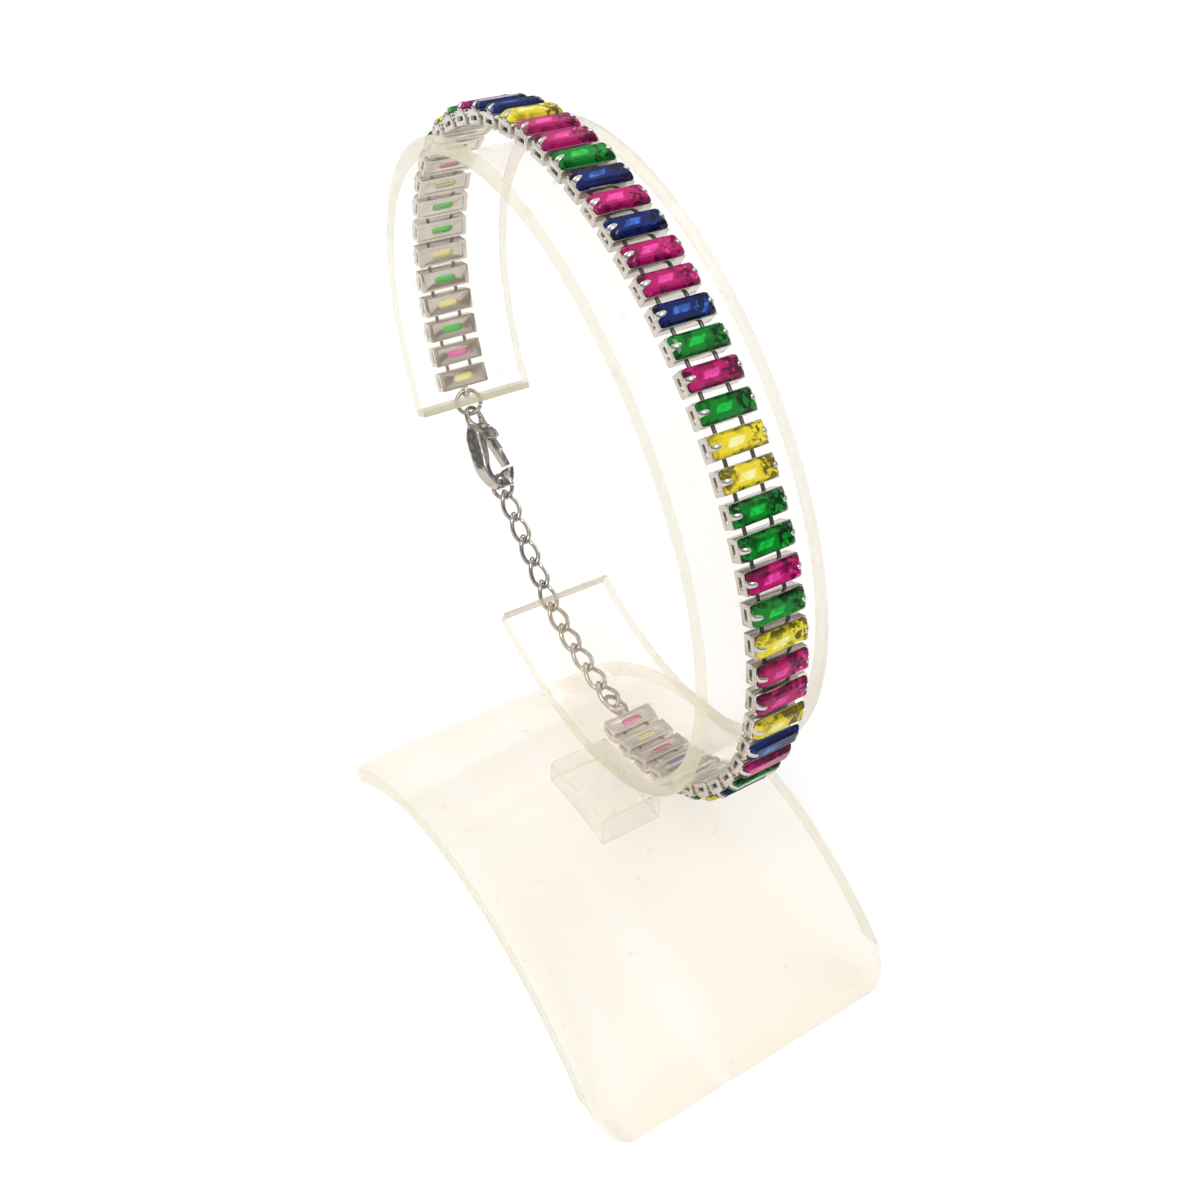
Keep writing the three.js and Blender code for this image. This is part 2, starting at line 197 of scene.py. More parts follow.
class Shader(Graph):
    """One node material with a Principled shader."""

    def __init__(self, name: str) -> None:
        """Makes the material and keeps its Principled shader."""
        self.material = bpy.data.materials.new(name)
        self.material.use_nodes = True
        super().__init__(self.material.node_tree)
        self.surface = self.tree.nodes["Principled BSDF"]

    def set(self, **sockets: object) -> None:
        """Feeds the Principled shader's inputs."""
        for key, value in sockets.items():
            self.feed(self.surface.inputs[key.replace("_", " ")], value)

    def bump(self, height: Wrap, strength: float, distance: float) -> None:
        """Raises the surface by a height pattern."""
        self.set(Normal=self.node("ShaderNodeBump", Strength=strength, Distance=distance, Height=height))


class Finish:
    """A material that is built the first time it is asked for."""

    name: str

    def material(self) -> Material:
        """Finds the material, or builds it."""
        made = bpy.data.materials.get(self.name)
        if made:
            return made
        shader = Shader(self.name)
        self.paint(shader, shader.coordinates())
        return shader.material

    def paint(self, shader: Shader, place: Wrap) -> None:
        """Sets up the shader from the point's place on its object."""
        raise NotImplementedError


@dataclass(frozen=True)
class ClearAcrylic(Finish):
    """Polished clear acrylic with a faint warm tint, painted highlight streaks, painted shade near the floor,
    fine scratches and specks.
    """

    name: str
    deep: Triple
    pale: Triple
    clear: float
    least: float
    gain: float
    roughness: float
    refraction: float = 1.49
    cloud_scale: float = 45.0
    scratch_scale: float = 900.0
    speck_scale: float = 420.0
    speck_start: float = 0.72
    # These fields shape the painted highlight streaks: stretched noise that makes the colour paler.
    highlight_scale: float = 24.0
    highlight_start: float = 0.6
    highlight_turn: float = 0.5
    highlight_stretch: float = 9.0
    # Painted shade near the floor: below this height the plastic is drawn deeper in colour and denser.
    floor_shade_height: float = 3.5 * MM
    floor_shade_slope: float = 280.0
    scratch_depth: float = 0.03 * MM

    def paint(self, shader: Shader, place: Wrap) -> None:
        """Sets up plastic that is clearest face on and paler and denser at a slant; the paleness at a slant
        is a painted reflection.
        """
        cloud = shader.noise(place, self.cloud_scale, 2.0)
        scratch = shader.noise(place, self.scratch_scale, 3.0, 0.7)
        worn = ((shader.noise(place, self.speck_scale, 1.0) - self.speck_start) * 12.0).clamped()
        drawn = shader.node(
            "ShaderNodeMapping",
            Vector=place,
            Rotation=(0.0, 0.0, self.highlight_turn),
            Scale=(1.0, self.highlight_stretch, 1.0),
        )
        # Painted highlight: stretched streaks that make the colour paler.
        highlight_streak = ((shader.noise(drawn, self.highlight_scale, 2.0) - self.highlight_start) * 7.0).clamped()
        # Painted shade: deeper colour and more cover towards the floor.
        floor_shade = ((self.floor_shade_height - shader.part(place, 2)) * self.floor_shade_slope).clamped()
        # Painted reflection: paler and denser at a slant, standing in for the room seen in the surface.
        facing = shader.node("ShaderNodeLayerWeight", output="Facing", Blend=0.4)
        # The colour mixes the painted reflection, the painted highlight streaks, the cloud and the painted
        # floor shade.
        tint = facing * 0.7 + highlight_streak + cloud * 0.3 - floor_shade * 0.1
        cover = facing ** 2.0 * self.gain + worn * 0.2 + cloud * 0.06 + floor_shade * 0.05 + self.least
        shader.set(
            Base_Color=shader.mix(tint.clamped(), self.deep, self.pale),
            Roughness=(cloud * 0.04 + worn * 0.3 + self.roughness).clamped(),
            Alpha=cover.clamped(),
            IOR=self.refraction,
            Transmission_Weight=self.clear,
        )
        shader.bump(scratch, 0.08, self.scratch_depth)


@dataclass(frozen=True)
class PolishedSteel(Finish):
    """Silver-coloured polished metal with a faint satin unevenness, and waves where it is cast."""

    name: str
    low: Triple
    high: Triple
    roughness: float
    wave: float = 0.0
    grain_scale: float = 1400.0
    patch_scale: float = 260.0
    bump_least: float = 0.12
    bump_gain: float = 0.005
    bump_depth: float = 0.02 * MM

    def paint(self, shader: Shader, place: Wrap) -> None:
        """Sets up the metal with its fine grain and its patches."""
        grain = shader.noise(place, self.grain_scale, 4.0)
        patch = shader.noise(place, self.patch_scale, 2.0)
        shader.set(
            Base_Color=shader.mix(patch, self.low, self.high),
            Roughness=(grain * 0.16 + (self.roughness - 0.08)).clamped(),
            Metallic=1.0,
        )
        strength = self.bump_least + self.bump_gain * self.wave
        shader.bump(grain + patch * self.wave, strength, self.bump_depth)


@dataclass(frozen=True)
class CutStone:
    """Coloured cut glass painted with its light: a bright window, a highlight flash, facet reflections, dark
    edges, and painted shade with small glints towards one end.
    """

    name: str
    deep: Triple
    middle: Triple
    light: Triple
    pale: Triple
    refraction: float = 1.5
    plane_scale: float = 850.0
    facet_scale: float = 1900.0
    # Size of the small painted glints in the shaded far end.
    glint_scale: float = 3000.0
    blur_scale: float = 330.0
    back_scale: float = 500.0
    # Strength of the painted glow of the back facets.
    back_glow: float = 0.45

    @staticmethod
    def patch(value: Wrap, middle: float, half: float) -> Wrap:
        """1 where the value is within a distance of the middle and 0 elsewhere."""
        return ((half - abs(value - middle)) * 8.0).clamped()

    def shade(self, shader: Shader, place: Wrap, tone: Wrap) -> Wrap:
        """How light the stone is at a point, from 0 to 1, painted in place of the light and shade that its
        facets catch.

        The facet map runs from -1 to 1 along the stone and across it.

        Args:
            shader: The stone's shader.
            place: The point's place on the piece.
            tone: A different value for each small facet.

        Returns:
            The lightness.
        """
        spot = shader.node("ShaderNodeUVMap", {"uv_map": "facet"})
        along = shader.part(spot, 0)
        side = shader.part(spot, 1)
        plane = shader.cells(place, self.plane_scale, 2)
        glint = shader.cells(place, self.glint_scale, 1)
        blur = shader.noise(place, self.blur_scale, 2.0)
        # Painted shade: the far end of each stone is drawn dark.
        shaded_end = ((along + blur * 0.5 - 0.5) * 7.0).clamped()
        slant = along + side * 0.25
        # Painted highlight: a bright window where light comes through the stone.
        window = self.patch(slant, -0.2, 0.36) * self.patch(side, 0.05, 0.4) * (1.0 - shaded_end)
        # Painted highlight: a small bright flash near one edge.
        flash = self.patch(along, 0.42, 0.14) * self.patch(side, 0.7, 0.12)
        # Painted shade: darker along the stone's sides and ends.
        edge = ((abs(side) - 0.66) * 7.0).clamped() + ((abs(along) - 0.8) * 9.0).clamped()
        # Painted reflections: facets of random lightness.
        facets = (tone - 0.5) * 0.24 + (plane - 0.5) * 0.5 * (1.0 - window * 0.7)
        # Painted shade at the far end, broken by small painted glints.
        end_shade_and_glints = shaded_end * (glint * 0.9 + tone * 0.3 - 0.8)
        # Painted light: one side a little lighter, plus the painted highlights and shade.
        light = 0.4 + facets + window * 0.5 + flash * 0.6 + side * 0.1 - edge * 0.16 + end_shade_and_glints
        return light.clamped()

    def crown(self) -> Material:
        """The material of the facets above the cup, coloured from deep to light by the painted lightness."""
        shader = Shader(self.name)
        # Painted light: the stops run from the stone's shaded colour to its lit colour.
        stops = [(0.0, self.deep), (0.38, self.middle), (0.66, self.middle), (1.0, self.light)]
        place = shader.coordinates()
        tone = shader.cells(place, self.facet_scale, 0)
        light = self.shade(shader, place, tone)
        shader.set(
            Base_Color=shader.node("ShaderNodeValToRGB", {"stops": stops}, Fac=light),
            Roughness=tone * 0.05 + 0.04,
            IOR=self.refraction,
            Specular_IOR_Level=0.2,
            Coat_Weight=0.1,
            Coat_Roughness=0.03,
        )
        return shader.material

    def pavilion(self) -> Material:
        """The paler material of the facets inside the cup, with a painted glow in place of the light that
        comes through the stone.
        """
        shader = Shader(self.name + "_back")
        blur = shader.noise(shader.coordinates(), self.back_scale, 2.0)
        glow = shader.mix(blur, self.pale, self.light)
        shader.set(
            Base_Color=glow,
            # Painted light: the emission makes the back facets glow as if lit through the stone.
            Emission_Color=glow,
            Emission_Strength=self.back_glow,
            Roughness=blur * 0.1 + 0.1,
            IOR=self.refraction,
        )
        return shader.material


class Gem(Enum):
    """The four stone colours."""

    PINK = CutStone(
        "ruby_pink_stone",
        (0.09, 0.001, 0.03), (0.47, 0.008, 0.135), (0.86, 0.08, 0.41), (0.92, 0.32, 0.66),
    )
    GREEN = CutStone(
        "emerald_green_stone",
        (0.0, 0.022, 0.003), (0.0, 0.2, 0.016), (0.006, 0.58, 0.06), (0.09, 0.75, 0.15),
    )
    BLUE = CutStone(
        "sapphire_blue_stone",
        (0.0, 0.002, 0.012), (0.002, 0.012, 0.11), (0.04, 0.16, 0.62), (0.15, 0.25, 0.7),
    )
    YELLOW = CutStone(
        "yellow_stone",
        (0.12, 0.1, 0.005), (0.8, 0.65, 0.03), (0.93, 0.89, 0.38), (0.9, 0.86, 0.5),
    )


CLEAR = ClearAcrylic("clear_acrylic", (0.93, 0.72, 0.38), (0.98, 0.91, 0.78), 0.5, 0.09, 0.24, 0.03)
BAND_CLEAR = ClearAcrylic("acrylic_band", (0.95, 0.69, 0.42), (0.98, 0.87, 0.73), 0.5, 0.08, 0.18, 0.03)
CUT_EDGE = ClearAcrylic("acrylic_cut_edge", (0.66, 0.6, 0.37), (0.88, 0.83, 0.62), 0.3, 0.46, 0.4, 0.15)
MOUTH_EDGE = ClearAcrylic("acrylic_mouth_edge", (0.56, 0.51, 0.34), (0.7, 0.65, 0.48), 0.1, 0.62, 0.2, 0.2)
BLOCK_CLEAR = ClearAcrylic("acrylic_block", (0.78, 0.71, 0.54), (0.93, 0.89, 0.8), 0.4, 0.15, 0.45, 0.04)
CUP_STEEL = PolishedSteel("cup_steel", (0.5, 0.475, 0.435), (0.7, 0.67, 0.625), 0.16)
CLASP_STEEL = PolishedSteel("clasp_steel", (0.34, 0.31, 0.27), (0.62, 0.58, 0.53), 0.13, 70.0)
# Very dark steel: painted shade on the wires between the cups and on the back walls of the end windows.
BAR_SHADE_STEEL = PolishedSteel("bar_steel", (0.07, 0.065, 0.06), (0.2, 0.19, 0.17), 0.3)
CHAIN_STEEL = PolishedSteel("chain_steel", (0.34, 0.315, 0.28), (0.54, 0.51, 0.47), 0.16)


class Draft:
    """Faces and points gathered before they become one mesh object."""

    def __init__(self) -> None:
        """Starts empty."""
        self.points: list[Vector] = []
        self.spots: list[tuple[float, float]] = []
        self.faces: list[tuple[int, ...]] = []
        self.slots: list[int] = []

    def add(self, points: Iterable[Vector], faces: Iterable[Sequence[int]], slot: int = 0) -> None:
        """Adds some faces.

        Args:
            points: Their points.
            faces: Their corners, counted from the first of these points.
            slot: Their material's index.
        """
        start = len(self.points)
        self.points.extend(Vector(p) for p in points)
        self.spots.extend([(0.0, 0.0)] * (len(self.points) - start))
        for face in faces:
            self.faces.append(tuple(start + i for i in face))
            self.slots.append(slot)

    def merge(self, other: "Draft", matrix: Matrix, slot: int | None = None) -> None:
        """Adds a moved copy of another draft.

        Args:
            other: What to copy.
            matrix: Where to.
            slot: One material for the copy, or None to keep its own.
        """
        start = len(self.points)
        self.points.extend(matrix @ p for p in other.points)
        self.spots.extend(other.spots)
        self.faces.extend(tuple(start + i for i in face) for face in other.faces)
        self.slots.extend(other.slots if slot is None else [slot] * len(other.faces))

    def loft(self, loops: Sequence[Sequence[Vector]], closed: bool = False, slot: int = 0) -> None:
        """Joins loops of equal length by a skin.

        Args:
            loops: The loops in order.
            closed: Whether the last joins the first; otherwise both ends are capped.
            slot: The material's index.
        """
        size = len(loops[0])
        count = len(loops)
        faces = []
        for i in range(count if closed else count - 1):
            a, b = i * size, ((i + 1) % count) * size
            faces.extend((a + j, a + (j + 1) % size, b + (j + 1) % size, b + j) for j in range(size))
        if not closed:
            faces.append(tuple(reversed(range(size))))
            faces.append(tuple((count - 1) * size + j for j in range(size)))
        self.add([p for loop in loops for p in loop], faces, slot)

    def build(
        self, name: str, materials: Sequence[Material], crease: float = CREASE
    ) -> Piece:
        """Makes the object.

        Args:
            name: Its name.
            materials: Its materials in slot order.
            crease: Edges sharper than this many degrees stay sharp.

        Returns:
            The new object, in the scene.
        """
        mesh = bpy.data.meshes.new(name)
        mesh.from_pydata([tuple(p) for p in self.points], [], self.faces)
        for material in materials:
            mesh.materials.append(material)
        mesh.polygons.foreach_set("material_index", self.slots)
        spots = mesh.uv_layers.new(name="facet")
        corners = [self.spots[loop.vertex_index] for loop in mesh.loops]
        spots.data.foreach_set("uv", [value for spot in corners for value in spot])
        work = bmesh.new()
        work.from_mesh(mesh)
        bmesh.ops.recalc_face_normals(work, faces=work.faces)
        work.to_mesh(mesh)
        work.free()
        mesh.shade_smooth()
        mesh.set_sharp_from_angle(angle=math.radians(crease))
        made = bpy.data.objects.new(name, mesh)
        bpy.context.scene.collection.objects.link(made)
        return made


def applied(piece: Piece, crease: float = CREASE) -> Piece:
    """Applies a piece's modifiers.

    Args:
        piece: The piece.
        crease: Edges sharper than this many degrees stay sharp.

    Returns:
        The same piece.
    """
    graph = bpy.context.evaluated_depsgraph_get()
    mesh = bpy.data.meshes.new_from_object(piece.evaluated_get(graph))
    piece.modifiers.clear()
    piece.data = mesh
    mesh.shade_smooth()
    mesh.set_sharp_from_angle(angle=math.radians(crease))
    return piece


def bevelled(piece: Piece, width: float, slot: int = -1) -> Piece:
    """Rounds a piece's sharp edges.

    Args:
        piece: The piece.
        width: The bevel's width.
        slot: The material's index for the new faces, or -1 for that of their neighbours.

    Returns:
        The same piece.
    """
    bevel = piece.modifiers.new("bevel", "BEVEL")
    bevel.width = width
    bevel.segments = BEVEL_SEGMENTS
    bevel.limit_method = "ANGLE"
    bevel.angle_limit = BEVEL_ANGLE
    bevel.material = slot
    return applied(piece)


@dataclass
class Oval:
    """The leaning oval that the band, the stones and the chain follow, in its own plane."""

    x: float
    y: float
    z: float
    long: float = 74.8 * MM
    short: float = 51.2 * MM
    lean: float = math.radians(-41.5)

    def point(self, offset: float, angle: float) -> Vector:
        """A point of the oval at an angle, moved out by an offset, at the middle of the band's width."""
        u = (self.long / 2 + offset) * math.cos(angle)
        v = (self.short / 2 + offset) * math.sin(angle)
        c, s = math.cos(self.lean), math.sin(self.lean)
        return Vector((self.x + c * u - s * v, self.y, self.z + s * u + c * v))

    def route(self, offset: float, start: float, end: float, steps: int) -> list[Vector]:
        """Points from one angle to another."""
        return [self.point(offset, start + (end - start) * i / steps) for i in range(steps + 1)]


class Route:
    """A polyline measured by its length."""

    def __init__(self, points: Sequence[Vector]) -> None:
        """Measures the points' distances."""
        self.points = list(points)
        self.marks = [0.0]
        for a, b in zip(self.points, self.points[1:]):
            self.marks.append(self.marks[-1] + (b - a).length)
        self.length = self.marks[-1]

    def at(self, distance: float) -> tuple[Vector, Vector]:
        """The point and the direction at a distance along it, straight on beyond the ends."""
        index = 0
        while index < len(self.points) - 2 and self.marks[index + 1] < distance:
            index += 1
        along = (self.points[index + 1] - self.points[index]).normalized()
        return self.points[index] + along * (distance - self.marks[index]), along


def basis(along: Vector, across: Vector, out: Vector, place: Vector) -> Matrix:
    """A frame from three directions and a place."""
    turn = Matrix((along, across, out)).transposed()
    return Matrix.Translation(place) @ turn.to_4x4()


def circle(radius: float, sides: int) -> list[tuple[float, float]]:
    """Points round a circle."""
    angles = [2 * math.pi * i / sides for i in range(sides)]
    return [(radius * math.cos(a), radius * math.sin(a)) for a in angles]


def tube(
    draft: Draft,
    centre: Callable[[float], Vector],
    radius: float,
    rings: int,
    sides: int,
    closed: bool,
    slot: int = 0,
) -> None:
    """Adds a round wire along a curve.

    Args:
        draft: Where to add it.
        centre: The curve, for 0 to 1.
        radius: The wire's radius.
        rings: How many rings of points.
        sides: How many points in a ring.
        closed: Whether the wire joins itself.
        slot: The material's index.
    """
    places = [centre(i / (rings if closed else rings - 1)) for i in range(rings)]
    side = None
    loops = []
    for i, place in enumerate(places):
        ahead = places[(i + 1) % rings] if closed or i < rings - 1 else place
        behind = places[i - 1] if closed or i > 0 else place
        along = (ahead - behind).normalized()
        if side is None:
            side = along.orthogonal().normalized()
        side = (side - along * side.dot(along)).normalized()
        up = along.cross(side)
        loops.append([place + side * u + up * v for u, v in circle(radius, sides)])
    if closed:
        loops = untwisted(loops)
    draft.loft(loops, closed, slot)


def untwisted(loops: list[list[Vector]]) -> list[list[Vector]]:
    """Turns the rings of a closed tube bit by bit so that the last meets the first point to point."""
    size = len(loops[0])
    last, first = loops[-1], loops[0]
    shift = min(range(size), key=lambda k: sum((last[j] - first[j + k - size]).length for j in range(size)))
    shift = shift if shift <= size / 2 else shift - size
    turned = []
    for i, loop in enumerate(loops):
        middle = sum(loop, Vector()) / size
        normal = (loop[1] - middle).cross(loop[0] - middle).normalized()
        turn = Matrix.Rotation(-2 * math.pi * shift / size * i / len(loops), 3, normal)
        turned.append([middle + turn @ (p - middle) for p in loop])
    return turned


@dataclass
class Stand:
    """The clear stand: an arched base, a small block and the open band."""

    oval: Oval
    base_x: float
    length: float = 63 * MM
    width: float = 39 * MM
    height: float = 14.2 * MM
    sheet: float = 2.2 * MM
    corner: float = 3.5 * MM
    wall: float = 2.1 * MM
    band_width: float = 15.2 * MM
    mouth_upper: float = math.radians(245)
    mouth_lower: float = math.radians(288)
    block_length: float = 11.3 * MM
    block_width: float = 7.8 * MM
    block_height: float = 3.8 * MM
    block_x: float = 1.5 * MM
    block_y: float = -0.7 * MM
    gap: float = 0.3 * MM
    edge: float = 0.25 * MM
    band_edge: float = 0.22 * MM
    base_steps: int = 96
    band_steps: int = 220
    block_steps: int = 24

    @property
    def arch_radius(self) -> float:
        """The outer radius of the bent sheet."""
        return (self.length ** 2 / 4 + self.height ** 2) / (2 * self.height)

    def arch(self, radius: float, x: float) -> float:
        """The height of the arch of that radius at a place along it."""
        return self.height - self.arch_radius + math.sqrt(radius ** 2 - (x - self.base_x) ** 2)

    def base(self) -> Piece:
        """The bent sheet, with rounded corners and polished edges."""
        draft = Draft()
        inner = self.arch_radius - self.sheet
        reach = math.sqrt(inner ** 2 - (self.arch_radius - self.height) ** 2)
        half = self.length / 2
        steps = self.base_steps
        loops = []
        for i in range(steps + 1):
            x = half * math.sin(math.pi * (i / steps - 0.5))
            inset = max(0.0, abs(x) - (half - self.corner))
            y = self.width / 2 - self.corner + math.sqrt(max(0.0, self.corner ** 2 - inset ** 2))
            top = max(0.0, self.arch(self.arch_radius, self.base_x + x))
            under = x * reach / half
            low = max(0.0, self.arch(inner, self.base_x + under))
            outline = ((x, -y, top), (x, y, top), (under, y, low), (under, -y, low))
            loops.append([Vector((self.base_x + a, b, c)) for a, b, c in outline])
        draft.loft(loops)
        for index, face in enumerate(draft.faces):
            a, b, c, _ = corners = [draft.points[i] for i in face]
            flat = max(abs(a.y - b.y), abs(b.y - c.y)) > self.width / 4
            at_end = max(abs(p.x - self.base_x) for p in corners) > half - 0.7 * self.corner
            draft.slots[index] = 0 if flat or at_end or index >= 4 * steps else 1
        piece = draft.build("base_sheet_clear", [CLEAR.material(), CUT_EDGE.material()], 50)
        return bevelled(piece, self.edge)

    def band(self) -> Piece:
        """The open oval band with polished edges."""
        draft = Draft()
        start = self.mouth_lower - 2 * math.pi
        steps = self.band_steps
        outside = self.oval.route(0.0, start, self.mouth_upper, steps)
        inside = self.oval.route(-self.wall, start, self.mouth_upper, steps)
        side = Vector((0, self.band_width / 2, 0))
        draft.loft([[o - side, o + side, i + side, i - side] for o, i in zip(outside, inside)])
        draft.slots = [index % 2 for index in range(4 * steps)] + [2, 2]
        draft.slots[4 * steps - 4: 4 * steps: 2] = [2, 2]
        materials = [finish.material() for finish in (BAND_CLEAR, CUT_EDGE, MOUTH_EDGE)]
        return bevelled(draft.build("ring_band_clear", materials, 50), self.band_edge)

    def block(self) -> Piece:
        """The block, hollowed above to the band and below to the arch."""
        draft = Draft()
        steps = self.block_steps
        y0 = self.block_y - self.block_width / 2
        y1 = self.block_y + self.block_width / 2
        loops = []
        for i in range(steps + 1):
            x = self.base_x + self.block_x + self.block_length * (i / steps - 0.5)
            low = self.arch(self.arch_radius, x) + self.gap
            high = min(self.height + self.block_height, self.under_band(x) - self.gap)
            outline = ((y0, low), (y1, low), (y1, high), (y0, high))
            loops.append([Vector((x, y, z)) for y, z in outline])
        draft.loft(loops)
        piece = draft.build("band_block_clear", [BLOCK_CLEAR.material(), CUT_EDGE.material()], 30)
        return bevelled(piece, self.edge, 1)

    def under_band(self, x: float) -> float:
        """The height of the band's underside at a place along the base."""
        points = self.oval.route(0.0, math.radians(270), math.radians(400), 400)
        return min(points, key=lambda p: abs(p.x - x) + (0 if p.z < self.oval.z else 1)).z


@dataclass
class Cup:
    """One oblong stone in its cup: x along the row, y across the band, z outwards."""

    width: float
    length: float = 6.4 * MM
    height: float = 1.5 * MM
    crown: float = 0.75 * MM
    claw: float = 0.7 * MM
    claw_thickness: float = 0.32 * MM
    claw_root: float = 0.02 * MM
    window_depth: float = 0.4 * MM
    panel_depth: float = 0.14 * MM
    outer_cut: float = 0.1 * MM
    inner_cut: float = 0.35 * MM
    panel_cut: float = 0.05 * MM
    keel_cut: float = 0.02 * MM
    edge: float = 0.06 * MM
    overshoot: float = 0.5 * MM

    def oblong(self, length: float, width: float, cut: float, z: float) -> list[Vector]:
        """An oblong at a height, with each corner cut by two short sides."""
        x, y = width / 2, length / 2
        corner = [(x, y - 1.3 * cut), (x - 0.35 * cut, y - 0.35 * cut), (x - cut, y)]
        quarter = [*corner, *((-a, b) for a, b in reversed(corner))]
        return [Vector((a, b, z)) for a, b in [*quarter, *((-a, -b) for a, b in quarter)]]

    def metal(self) -> Draft:
        """The cup with its end windows, back opening and two curled claws."""
        box = Draft()
        bottom, top = -self.height / 2, self.height / 2
        outer = [self.oblong(self.length, self.width, self.outer_cut, z) for z in (bottom, top)]
        rim = self.oblong(0.93 * self.length, 0.9 * self.width, self.inner_cut, top)
        floor = self.oblong(0.86 * self.length, 0.74 * self.width, self.inner_cut, top - 0.5 * self.height)
        box.loft([*outer, rim, floor])
        body = box.build("cup_form", [], 30)
        cutters = [self.window(1), self.window(-1), self.opening(), self.panel()]
        for cutter in cutters:
            cut = body.modifiers.new("cut", "BOOLEAN")
            cut.operation = "DIFFERENCE"
            cut.solver = "EXACT"
            cut.object = cutter
        bpy.context.view_layer.update()
        applied(body)
        bevelled(body, self.edge)
        shape = Draft()
        faces = body.data.polygons
        shape.add([v.co.copy() for v in body.data.vertices], [tuple(face.vertices) for face in faces])
        # Painted shade: the back walls of the end windows take the very dark steel.
        shape.slots = [int(self.in_window(face)) for face in faces]
        for used in (body, *cutters):
            bpy.data.objects.remove(used)
        for turn in (0.0, math.pi):
            shape.merge(self.claw_form(), Matrix.Rotation(turn, 4, "Z"))
        return shape

    def in_window(self, face: bpy.types.MeshPolygon) -> bool:
        """Whether a face is the back wall of an end window, which takes the very dark steel as painted shade.
        """
        recess = self.length / 2 - self.window_depth
        return abs(abs(face.center.y) - recess) < 0.02 * MM and abs(face.normal.y) > 0.9

    def window(self, side: int) -> Piece:
        """A cutter for the small oblong window in one end wall."""
        draft = Draft()
        x, low, high = 0.27 * self.width, -0.2 * self.height, 0.1 * self.height
        outline = ((-x, low), (x, low), (x, high), (-x, high))
        ends = (self.length / 2 - self.window_depth, self.length / 2 + self.overshoot)
        draft.loft([[Vector((a, side * y, b)) for a, b in outline] for y in ends])
        return draft.build(f"window_cutter_{side + 1}", [])

    def opening(self) -> Piece:
        """A cutter for the round-ended opening in the back."""
        draft = Draft()
        radius, reach = 0.17 * self.width, 0.15 * self.length
        turns = [math.pi * i / 8 for i in range(9)]
        outline = [(radius * math.cos(a), reach + radius * math.sin(a)) for a in turns]
        outline += [(-x, -y) for x, y in outline]
        draft.loft([[Vector((x, y, z)) for x, y in outline] for z in (-self.height, 0.1 * self.height)])
        return draft.build("opening_cutter", [])

    def panel(self) -> Piece:
        """A cutter for the shallow recess round the opening in the back."""
        draft = Draft()
        length, width = 0.84 * self.length, 0.74 * self.width
        levels = (-self.height, -self.height / 2 + self.panel_depth)
        draft.loft([self.oblong(length, width, self.panel_cut, z) for z in levels])
        return draft.build("panel_cutter", [])

    def claw_form(self) -> Draft:
        """A rounded finger that rises from an end wall and curls over the stone."""
        top, end = self.height / 2, self.length / 2
        rise = [
            (0.0, 0.0, 1.2), (0.0, 0.28, 1.0), (0.12, 0.58, 0.92), (0.38, 0.84, 0.88), (0.7, 1.02, 0.84),
            (0.95, 1.1, 0.66), (1.1, 1.06, 0.3),
        ]
        line = [(end - self.claw_root, top - 0.25 * self.height)]
        line += [(end - inwards * self.crown, top + up * self.crown) for inwards, up, _ in rise]
        widths = [1.5, *(width for *_, width in rise)]
        section = [
            (-1.0, 0.55), (-0.86, 0.2), (-0.45, 0.02), (0.0, -0.04), (0.45, 0.02), (0.86, 0.2), (1.0, 0.55),
            (0.8, 0.95), (-0.8, 0.95),
        ]
        draft = Draft()
        loops = []
        for i, (y, z) in enumerate(line):
            half = self.claw / 2 * widths[i]
            along = Vector(line[min(i + 1, len(line) - 1)]) - Vector(line[max(i - 1, 0)])
            inward = Vector((-along.y, along.x)).normalized() * self.claw_thickness
            loops.append([Vector((half * a, y + inward.x * d, z + inward.y * d)) for a, d in section])
        draft.loft(loops)
        return draft

    def stone(self) -> Draft:
        """The cut stone: a table, two rows of crown facets, a girdle and a keel below."""
        top = self.height / 2
        width, length, cut = 0.97 * self.width, 0.97 * self.length, 0.13 * self.width
        draft = Draft()
        rows = [
            (0.5, 0.12, self.keel_cut, -0.42 * self.height),
            (0.85, 0.62, 0.6 * cut, -0.2 * self.height),
            (0.93, 0.86, cut, 0.02 * self.crown),
            (1.0, 1.0, cut, 0.14 * self.crown),
            (1.0, 1.0, cut, 0.26 * self.crown),
            (0.93, 0.86, 0.9 * cut, 0.68 * self.crown),
            (0.84, 0.66, 0.7 * cut, 0.98 * self.crown),
        ]
        levels = [self.oblong(a * length, b * width, corner, top + rise) for a, b, corner, rise in rows]
        draft.loft(levels)
        size = len(levels[0])
        draft.slots[: 2 * size] = [1] * (2 * size)
        draft.slots[-2] = 1
        draft.spots = [(2 * p.y / length, 2 * p.x / width) for p in draft.points]
        return draft


